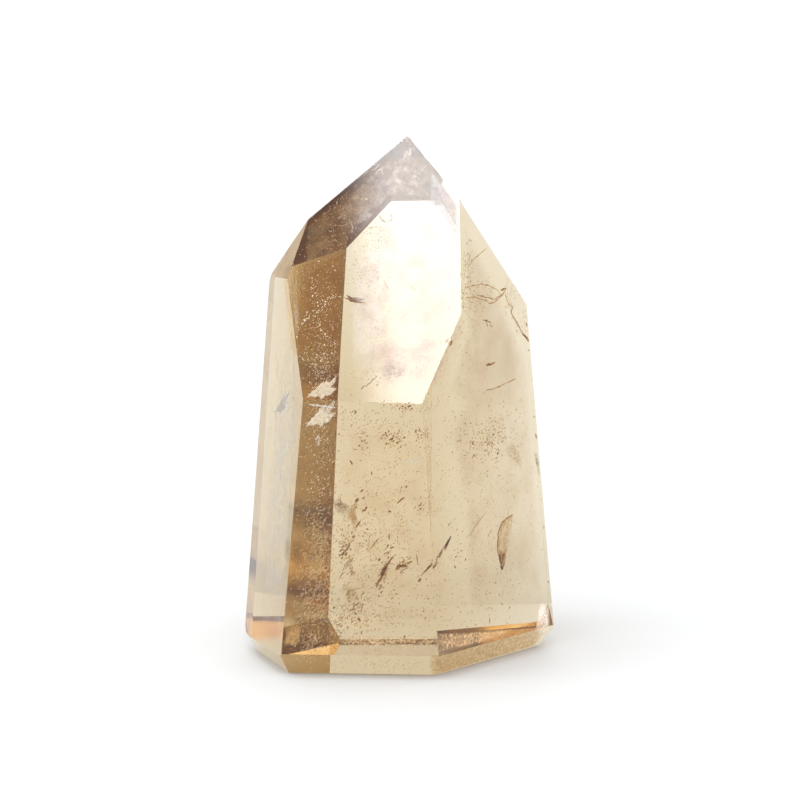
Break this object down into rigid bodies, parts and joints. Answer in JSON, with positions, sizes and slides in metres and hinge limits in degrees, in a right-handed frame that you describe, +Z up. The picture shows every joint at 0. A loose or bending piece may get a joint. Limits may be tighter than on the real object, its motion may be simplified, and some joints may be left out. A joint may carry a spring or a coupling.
{
  "type": "citrine crystal point",
  "caption": "Free-standing polished citrine quartz point, a clear faceted column with an off-centre tip and a flat bevelled foot.",
  "frame": {"origin": "middle of the flat foot, on the surface that the crystal stands on", "axes": "+Z up along the crystal to its tip, -Y out of the broad front face, +X to the right of that face"},
  "size_m": [0.0423, 0.037, 0.0711],
  "materials": {
    "citrine": "polished clear quartz with a smoky yellow-brown tint, refractive index 1.55"
  },
  "bodies": {
    "root": {"crystal_point": "citrine"}
  },
  "joints": []
}
